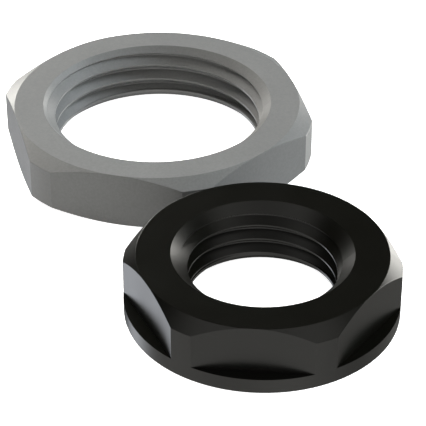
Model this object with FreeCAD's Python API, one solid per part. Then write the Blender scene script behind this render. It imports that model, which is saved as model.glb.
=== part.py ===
import FreeCAD, Part
import math
import os

# Two loose cable-gland locknuts of moulded polyamide, lying side by side on their seating faces.
# The plain locknut is a flat hexagon nut with a Pg 11 thread. The collar locknut has a round
# collar under its hexagon and a Pg 7 thread. Both threads are right-handed, with the 80 degree
# angle of the Pg series. All sizes are in millimetres, +Z is up along both thread axes, and
# the origin is the middle of the pair's outline, on the surface that the pair lies on.

# Plain locknut
PLAIN_ACROSS_FLATS = 24.0
PLAIN_CORNER_D = 26.4        # the hexagon's corners are turned down to this diameter
PLAIN_HEIGHT = 4.7
PLAIN_BEVEL_D = 24.0         # where the flat face ends and the bevel of the corners starts
PLAIN_BEVEL_ANGLE = 29.0     # bevel from the horizontal
PLAIN_MAJOR_D = 18.6
PLAIN_MINOR_D = 17.26
PLAIN_PITCH = 25.4 / 18
PLAIN_RIM_D = 19.2           # mouth of the countersink on the upper face
PLAIN_LOW_SINK = 0.5         # depth of the countersink on the seating face
PLAIN_GROOVE_Z = 1.13        # height of a groove's middle on the +Y side of the bore
PLAIN_TURN = 14.5            # one flat faces this far clockwise from -Y, seen from above

# Collar locknut
COLLAR_ACROSS_FLATS = 19.0
COLLAR_D = 21.0              # collar, and the turned corners of the hexagon above it
COLLAR_HEIGHT = 5.0
COLLAR_THICKNESS = 1.2
COLLAR_BEVEL_D = 19.0
COLLAR_BEVEL_ANGLE = 45.0
COLLAR_MAJOR_D = 12.5
COLLAR_MINOR_D = 11.28
COLLAR_PITCH = 25.4 / 20
COLLAR_RIM_D = 13.8
COLLAR_LOW_SINK = 0.7
COLLAR_GROOVE_Z = 1.59
COLLAR_TURN = 5.0

# Threads
FLANK_ANGLE = 40.0           # half of the 80 degree thread angle, from the groove's mid-plane
LAND_HEIGHT = 0.25           # plain ring of bore between the lower countersink and the thread
GROOVE_OVERLAP = 0.04        # the groove's flanks run this far past the crests into the bore
GROOVE_TAIL = 0.4            # and its section ends this far inside the crests

# Edges
EDGE_RADIUS = 0.05           # softened moulded edges, all but those of the bore and of the collar's ledges

UP = FreeCAD.Vector(0, 0, 1)
CENTRE = FreeCAD.Vector(0, 0, 0)

# Layout: where each thread axis stands
PLAIN_PLACE = FreeCAD.Vector(-3.0, 10.0, 0)
COLLAR_PLACE = FreeCAD.Vector(5.5, -12.5, 0)


def slope(degrees):
    return math.tan(math.radians(degrees))


def turned(outline):
    """Solid of revolution about Z from an outline of (radius, height) points."""
    points = [FreeCAD.Vector(r, 0, z) for r, z in outline]
    face = Part.Face(Part.makePolygon(points + points[:1]))
    return face.revolve(CENTRE, UP, 360)


def around(shape, degrees):
    """A copy of shape turned about Z."""
    return shape.rotated(CENTRE, UP, degrees)


def plain_blank():
    """Bored round blank with both outer edges bevelled, without flats and without thread."""
    outer = PLAIN_CORNER_D / 2
    face = PLAIN_BEVEL_D / 2
    drop = (outer - face) * slope(PLAIN_BEVEL_ANGLE)
    minor = PLAIN_MINOR_D / 2
    rim = PLAIN_RIM_D / 2
    top = PLAIN_HEIGHT
    land = PLAIN_LOW_SINK + LAND_HEIGHT
    return turned([
        (minor + PLAIN_LOW_SINK, 0), (face, 0), (outer, drop), (outer, top - drop), (face, top),
        (rim, top), (minor, top - (rim - minor)), (minor, land), (minor, PLAIN_LOW_SINK),
    ])


def collar_blank():
    """Bored round blank with its upper outer edge bevelled, without flats and without thread."""
    outer = COLLAR_D / 2
    face = COLLAR_BEVEL_D / 2
    drop = (outer - face) * slope(COLLAR_BEVEL_ANGLE)
    minor = COLLAR_MINOR_D / 2
    rim = COLLAR_RIM_D / 2
    top = COLLAR_HEIGHT
    land = COLLAR_LOW_SINK + LAND_HEIGHT
    return turned([
        (minor + COLLAR_LOW_SINK, 0), (outer, 0), (outer, top - drop), (face, top),
        (rim, top), (minor, top - (rim - minor)), (minor, land), (minor, COLLAR_LOW_SINK),
    ])


def full_flat_cutter():
    """Block outside one flat of the plain hexagon, over the whole height."""
    near = PLAIN_ACROSS_FLATS / 2
    side = PLAIN_CORNER_D
    corner = FreeCAD.Vector(near, -side / 2, -1)
    return Part.makeBox(side, side, PLAIN_HEIGHT + 2, corner)


def short_flat_cutter():
    """Block outside one flat of the collar nut, from the collar's upper face up."""
    near = COLLAR_ACROSS_FLATS / 2
    side = COLLAR_D
    corner = FreeCAD.Vector(near, -side / 2, COLLAR_THICKNESS)
    return Part.makeBox(side, side, COLLAR_HEIGHT, corner)


def with_flats(blank, cutter, turn):
    """The blank with six flats cut, one of them facing `turn` degrees clockwise from -Y."""
    first = -90 - turn
    return blank.cut([around(cutter, first + 60 * side) for side in range(6)])


def distance_out(edge):
    """The smallest distance of an edge from the thread axis."""
    return min(math.hypot(point.x, point.y) for point in edge.discretize(7))


def lies_at(edge, height):
    """Whether the whole edge is at one height."""
    return all(abs(point.z - height) < 0.0001 for point in edge.discretize(7))


def softened(blank, rim_d, sharp=None):
    """The blank with the edges outside the bore's countersinks slightly rounded.

    Edges at the height `sharp` are left as they are.
    """
    nut = blank.Solids[0]
    edges = [edge for edge in nut.Edges if distance_out(edge) > rim_d / 2 + EDGE_RADIUS]
    if sharp is not None:
        edges = [edge for edge in edges if not lies_at(edge, sharp)]
    return nut.makeFillet(EDGE_RADIUS, edges)


def cut_thread(nut, minor_d, major_d, pitch, middle_z, low, high):
    """The nut with a right-handed helical groove cut in its bore between two heights.

    The groove is cut one whole turn at a time. middle_z is the height of the groove's middle on
    the bore's +Y side.
    """
    minor = minor_d / 2
    major = major_d / 2
    depth = major - minor
    peak = pitch / (2 * slope(FLANK_ANGLE))
    root_half = (peak - depth) / 2 * slope(FLANK_ANGLE)
    mouth_half = root_half + (depth + GROOVE_OVERLAP) * slope(FLANK_ANGLE)
    half = [(minor - GROOVE_TAIL, mouth_half), (minor - GROOVE_OVERLAP, mouth_half), (major, root_half)]
    section = [FreeCAD.Vector(r, 0, z) for r, z in half + [(r, -z) for r, z in reversed(half)]]
    helix = Part.Wire(Part.makeHelix(pitch, pitch, minor).Edges)
    one_turn = helix.makePipeShell([Part.makePolygon(section + section[:1])], True, True)
    stretch = Part.makeCylinder(major + 1, high - low, UP * low)
    first = math.floor((low - middle_z) / pitch) - 1
    last = math.ceil((high - middle_z) / pitch)
    for turn in range(first, last + 1):
        raised = one_turn.translated(UP * (middle_z + turn * pitch))
        nut = nut.cut(around(raised, 90).common(stretch))
    return nut


def plain_locknut():
    blank = with_flats(plain_blank(), full_flat_cutter(), PLAIN_TURN)
    blank = softened(blank, PLAIN_RIM_D)
    return cut_thread(blank, PLAIN_MINOR_D, PLAIN_MAJOR_D, PLAIN_PITCH, PLAIN_GROOVE_Z,
                      PLAIN_LOW_SINK + LAND_HEIGHT, PLAIN_HEIGHT + 1)


def collar_locknut():
    blank = with_flats(collar_blank(), short_flat_cutter(), COLLAR_TURN)
    blank = softened(blank, COLLAR_RIM_D, sharp=COLLAR_THICKNESS)
    return cut_thread(blank, COLLAR_MINOR_D, COLLAR_MAJOR_D, COLLAR_PITCH, COLLAR_GROOVE_Z,
                      COLLAR_LOW_SINK + LAND_HEIGHT, COLLAR_HEIGHT + 1)


def main():
    os.makedirs("parts", exist_ok=True)
    nuts = {
        "plain_locknut": plain_locknut().translated(PLAIN_PLACE),
        "collar_locknut": collar_locknut().translated(COLLAR_PLACE),
    }
    for name, nut in nuts.items():
        nut.exportStep("parts/" + name + ".step")
        print(name, "valid", nut.isValid(), "solids", len(nut.Solids), "volume", round(nut.Volume, 1))
    first, second = nuts.values()
    print("gap between the nuts", round(first.distToShape(second)[0], 3))


main()
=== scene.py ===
import math

import bpy
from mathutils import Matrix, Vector


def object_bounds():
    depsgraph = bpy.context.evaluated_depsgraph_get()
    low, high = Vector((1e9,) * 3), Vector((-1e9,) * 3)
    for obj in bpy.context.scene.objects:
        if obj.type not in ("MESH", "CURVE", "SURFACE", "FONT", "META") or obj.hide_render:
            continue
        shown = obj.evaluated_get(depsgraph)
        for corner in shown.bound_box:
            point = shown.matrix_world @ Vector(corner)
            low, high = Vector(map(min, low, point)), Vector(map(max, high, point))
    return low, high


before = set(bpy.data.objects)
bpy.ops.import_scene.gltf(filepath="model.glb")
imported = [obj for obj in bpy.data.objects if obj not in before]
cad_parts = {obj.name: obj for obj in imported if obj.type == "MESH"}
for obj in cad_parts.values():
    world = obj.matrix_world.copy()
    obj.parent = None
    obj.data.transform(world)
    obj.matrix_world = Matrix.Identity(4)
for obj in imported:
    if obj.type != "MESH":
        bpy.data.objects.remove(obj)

MM = 0.001
CAD_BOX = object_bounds()

# Camera: the point that it looks at, its distance and angles in degrees from there, and its lens
LOOK_AT = Vector((1.74, 0.05, 0.0)) * MM
CAMERA_DISTANCE = 156.7 * MM
CAMERA_ELEVATION = 34.0
CAMERA_AZIMUTH = 0.2
LENS = 162.6
SENSOR = 36.0

# Studio: the floor is a light table, so that shadows don't show on it
FLOOR_SIZE = 6.0
FLOOR_ALBEDO = 0.64
FLOOR_GLOW = 0.95
TOP_LIGHT_PLACE = Vector((0.0, 0.0, 0.68))
TOP_LIGHT_SIZE = 0.60
TOP_LIGHT_POWER = 2.2
TOP_LIGHT_COLOUR = (1.0, 0.98, 0.93)
KEY_LIGHT_PLACE = Vector((-0.34, 0.38, 0.40))
KEY_LIGHT_SIZE = 0.44
KEY_LIGHT_POWER = 10.0
KEY_LIGHT_COLOUR = (1.0, 0.965, 0.92)
FILL_LIGHT_PLACE = Vector((0.56, 0.16, 0.34))
FILL_LIGHT_SIZE = 0.40
FILL_LIGHT_POWER = 12.0
FILL_LIGHT_COLOUR = (0.88, 0.95, 1.0)
SKY_LIGHT = 0.02
WARM = (1.0, 0.985, 0.935, 1.0)
COOL = (0.90, 0.935, 1.0, 1.0)

# Bright panels far off in the dark studio. Each has its direction, light and colour, the cosines
# of the angles from that direction at which it starts and reaches full light, and the upward
# parts of the directions between which it fades out.
PANELS = (
    (Vector((0.76, 0.64, 0.0)), 6.3, WARM, 0.84, 0.92, 0.10, 0.28),
    (Vector((-0.40, 0.88, 0.24)), 12.0, WARM, 0.975, 0.992, 0.36, 0.46),
    (Vector((0.0, -0.62, 0.78)), 0.9, WARM, 0.45, 0.80, 0.80, 0.90),
    (Vector((-0.70, 0.50, -0.48)), 2.6, COOL, 0.94, 0.99, -0.2, 0.0),
    (Vector((-0.41, -0.81, -0.42)), 1.0, WARM, 0.0, 0.75, 0.0, 0.1),
    (Vector((0.85, -0.31, -0.42)), 0.43, WARM, 0.2, 0.9, 0.0, 0.1),
)

# Polyamide: noise scales per metre, how much each pattern does, and the shades of both nuts
CLOUDS_SCALE = 260.0
SPECKS_SCALE = 5200.0
GRAIN_SCALE = 9000.0
WAVES_SCALE = 700.0
CLOUDS_SHARE = 0.3            # of the step from the dark to the light shade
SPECKS_SHARE = 0.7
GLOSS_VARIATION = 0.03
GRAIN_STRENGTH = 0.35
WAVES_STRENGTH = 0.05
WAVES_TO_GRAIN_DEPTH = 4
GREY_DARK = (0.073, 0.074, 0.073, 1.0)
GREY_LIGHT = (0.089, 0.090, 0.089, 1.0)
BLACK_DARK = (0.0010, 0.0010, 0.0006, 1.0)
BLACK_LIGHT = (0.0013, 0.0013, 0.0009, 1.0)


def white(value):
    """A neutral colour."""
    return (value, value, value, 1.0)


class Tree:
    """A node tree being built. Inputs that are sockets get linked, the others are set."""

    def __init__(self, owner):
        owner.use_nodes = True
        self.nodes = owner.node_tree.nodes
        self.links = owner.node_tree.links
        self.nodes.clear()

    def add(self, kind, inputs=None, **settings):
        node = self.nodes.new(kind)
        for name, value in settings.items():
            setattr(node, name, value)
        for name, value in (inputs or {}).items():
            if isinstance(value, bpy.types.NodeSocket):
                self.links.new(value, node.inputs[name])
            else:
                node.inputs[name].default_value = value
        return node


def noise(tree, where, scale, detail, roughness=0.5):
    """A noise pattern whose blobs are about 1/scale metres across."""
    inputs = {"Vector": where, "Scale": scale, "Detail": detail, "Roughness": roughness}
    return tree.add("ShaderNodeTexNoise", inputs).outputs["Fac"]


def spread(tree, value, low, high, start=0.35, end=0.65):
    """The value mapped from the range start to end onto low to high, and clamped to those."""
    inputs = {"Value": value, "From Min": start, "From Max": end, "To Min": low, "To Max": high}
    return tree.add("ShaderNodeMapRange", inputs).outputs["Result"]


def polyamide(name, dark, light, roughness, ior, grain_depth):
    """Moulded polyamide: faint mottling, cloudy gloss and the fine grain of an eroded mould."""
    material = bpy.data.materials.new(name)
    tree = Tree(material)
    where = tree.add("ShaderNodeTexCoord").outputs["Object"]
    clouds = noise(tree, where, CLOUDS_SCALE, 3.0)
    specks = noise(tree, where, SPECKS_SCALE, 2.0)
    shades = {
        0: spread(tree, clouds, 0.0, CLOUDS_SHARE, 0.25, 0.75),
        1: spread(tree, specks, 0.0, SPECKS_SHARE),
    }
    shade = tree.add("ShaderNodeMath", shades, operation="ADD").outputs[0]
    smooth = roughness - GLOSS_VARIATION
    matt = roughness + GLOSS_VARIATION
    shader = tree.add("ShaderNodeBsdfPrincipled", {
        "Base Color": mixed(tree, shade, dark, light),
        "Roughness": spread(tree, clouds, smooth, matt, 0.2, 0.8),
        "IOR": ior,
        "Normal": grained(tree, where, grain_depth),
    })
    tree.add("ShaderNodeOutputMaterial", {"Surface": shader.outputs["BSDF"]})
    return material


def grained(tree, where, depth):
    """The surface direction with fine grain on slow waves."""
    grain = tree.add("ShaderNodeBump", {
        "Height": noise(tree, where, GRAIN_SCALE, 3.0, 0.6),
        "Strength": GRAIN_STRENGTH,
        "Distance": depth,
    })
    waves = tree.add("ShaderNodeBump", {
        "Height": noise(tree, where, WAVES_SCALE, 2.0),
        "Strength": WAVES_STRENGTH,
        "Distance": WAVES_TO_GRAIN_DEPTH * depth,
        "Normal": grain.outputs["Normal"],
    })
    return waves.outputs["Normal"]


def mixed(tree, factor, dark, light):
    """A colour between dark and light."""
    ramp = tree.add("ShaderNodeValToRGB", {"Fac": factor})
    ramp.color_ramp.elements[0].color = dark
    ramp.color_ramp.elements[1].color = light
    return ramp.outputs["Color"]


def dress(node, material):
    """Gives every face of a CAD node the material."""
    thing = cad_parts[node]
    thing.data.materials.clear()
    thing.data.materials.append(material)


def make_floor():
    """A pale floor under the nuts, left out of reflections: the photo's nuts mirror no floor."""
    bpy.ops.mesh.primitive_plane_add(size=FLOOR_SIZE, location=(0, 0, CAD_BOX[0].z))
    floor = bpy.context.object
    floor.name = "floor"
    material = bpy.data.materials.new("pale_floor")
    tree = Tree(material)
    shader = tree.add("ShaderNodeBsdfPrincipled", {
        "Base Color": white(FLOOR_ALBEDO),
        "Roughness": 1.0,
        "Specular IOR Level": 0.0,
        "Emission Color": white(1.0),
        "Emission Strength": FLOOR_GLOW,
    })
    tree.add("ShaderNodeOutputMaterial", {"Surface": shader.outputs["BSDF"]})
    floor.data.materials.append(material)
    floor.visible_glossy = False


def make_world():
    """A nearly dark studio with soft-edged bright panels, which the nuts reflect."""
    world = bpy.data.worlds.new("studio")
    bpy.context.scene.world = world
    tree = Tree(world)
    way = tree.add("ShaderNodeTexCoord").outputs["Generated"]
    parts = tree.add("ShaderNodeSeparateXYZ", {"Vector": way}).outputs
    glow = tree.add("ShaderNodeBackground", {"Color": WARM, "Strength": SKY_LIGHT}).outputs[0]
    for direction, brightness, colour, edge, even, fade, top in PANELS:
        inputs = {0: way, 1: direction.normalized()}
        facing = tree.add("ShaderNodeVectorMath", inputs, operation="DOT_PRODUCT").outputs["Value"]
        panel = spread(tree, facing, 0.0, brightness, edge, even)
        below = spread(tree, parts["Z"], 1.0, 0.0, fade, top)
        light = tree.add("ShaderNodeMath", {0: panel, 1: below}, operation="MULTIPLY").outputs[0]
        glare = tree.add("ShaderNodeBackground", {"Color": colour, "Strength": light}).outputs[0]
        glow = tree.add("ShaderNodeAddShader", {0: glow, 1: glare}).outputs[0]
    tree.add("ShaderNodeOutputWorld", {"Surface": glow})


def soft_light(name, place, size, power, colour):
    """A round lamp aimed at the origin and left out of reflections, which show the panels."""
    data = bpy.data.lights.new(name, "AREA")
    data.shape = "DISK"
    data.size = size
    data.energy = power
    data.color = colour
    lamp = bpy.data.objects.new(name, data)
    lamp.location = place
    lamp.rotation_euler = (-place).to_track_quat("-Z", "Y").to_euler()
    lamp.visible_glossy = False
    bpy.context.scene.collection.objects.link(lamp)


def make_camera():
    """The photograph's view. An azimuth of zero looks along +Y."""
    azimuth = math.radians(CAMERA_AZIMUTH)
    elevation = math.radians(CAMERA_ELEVATION)
    level = math.cos(elevation)
    back = Vector((math.sin(azimuth) * level, -math.cos(azimuth) * level, math.sin(elevation)))
    data = bpy.data.cameras.new("camera")
    data.lens = LENS
    data.sensor_width = SENSOR
    data.clip_start = CAMERA_DISTANCE / 10
    data.clip_end = FLOOR_SIZE
    camera = bpy.data.objects.new("camera", data)
    camera.location = LOOK_AT + back * CAMERA_DISTANCE
    camera.rotation_euler = (-back).to_track_quat("-Z", "Y").to_euler()
    bpy.context.scene.collection.objects.link(camera)
    bpy.context.scene.camera = camera


make_camera()
make_floor()
make_world()
soft_light("top_light", TOP_LIGHT_PLACE, TOP_LIGHT_SIZE, TOP_LIGHT_POWER, TOP_LIGHT_COLOUR)
soft_light("key_light", KEY_LIGHT_PLACE, KEY_LIGHT_SIZE, KEY_LIGHT_POWER, KEY_LIGHT_COLOUR)
soft_light("fill_light", FILL_LIGHT_PLACE, FILL_LIGHT_SIZE, FILL_LIGHT_POWER, FILL_LIGHT_COLOUR)

grey = polyamide("grey_polyamide", GREY_DARK, GREY_LIGHT,
                 roughness=0.37, ior=1.53, grain_depth=0.006 * MM)
black = polyamide("black_polyamide", BLACK_DARK, BLACK_LIGHT,
                  roughness=0.31, ior=1.44, grain_depth=0.002 * MM)
dress("plain_locknut", grey)
dress("collar_locknut", black)

bpy.context.scene.view_settings.view_transform = "Standard"
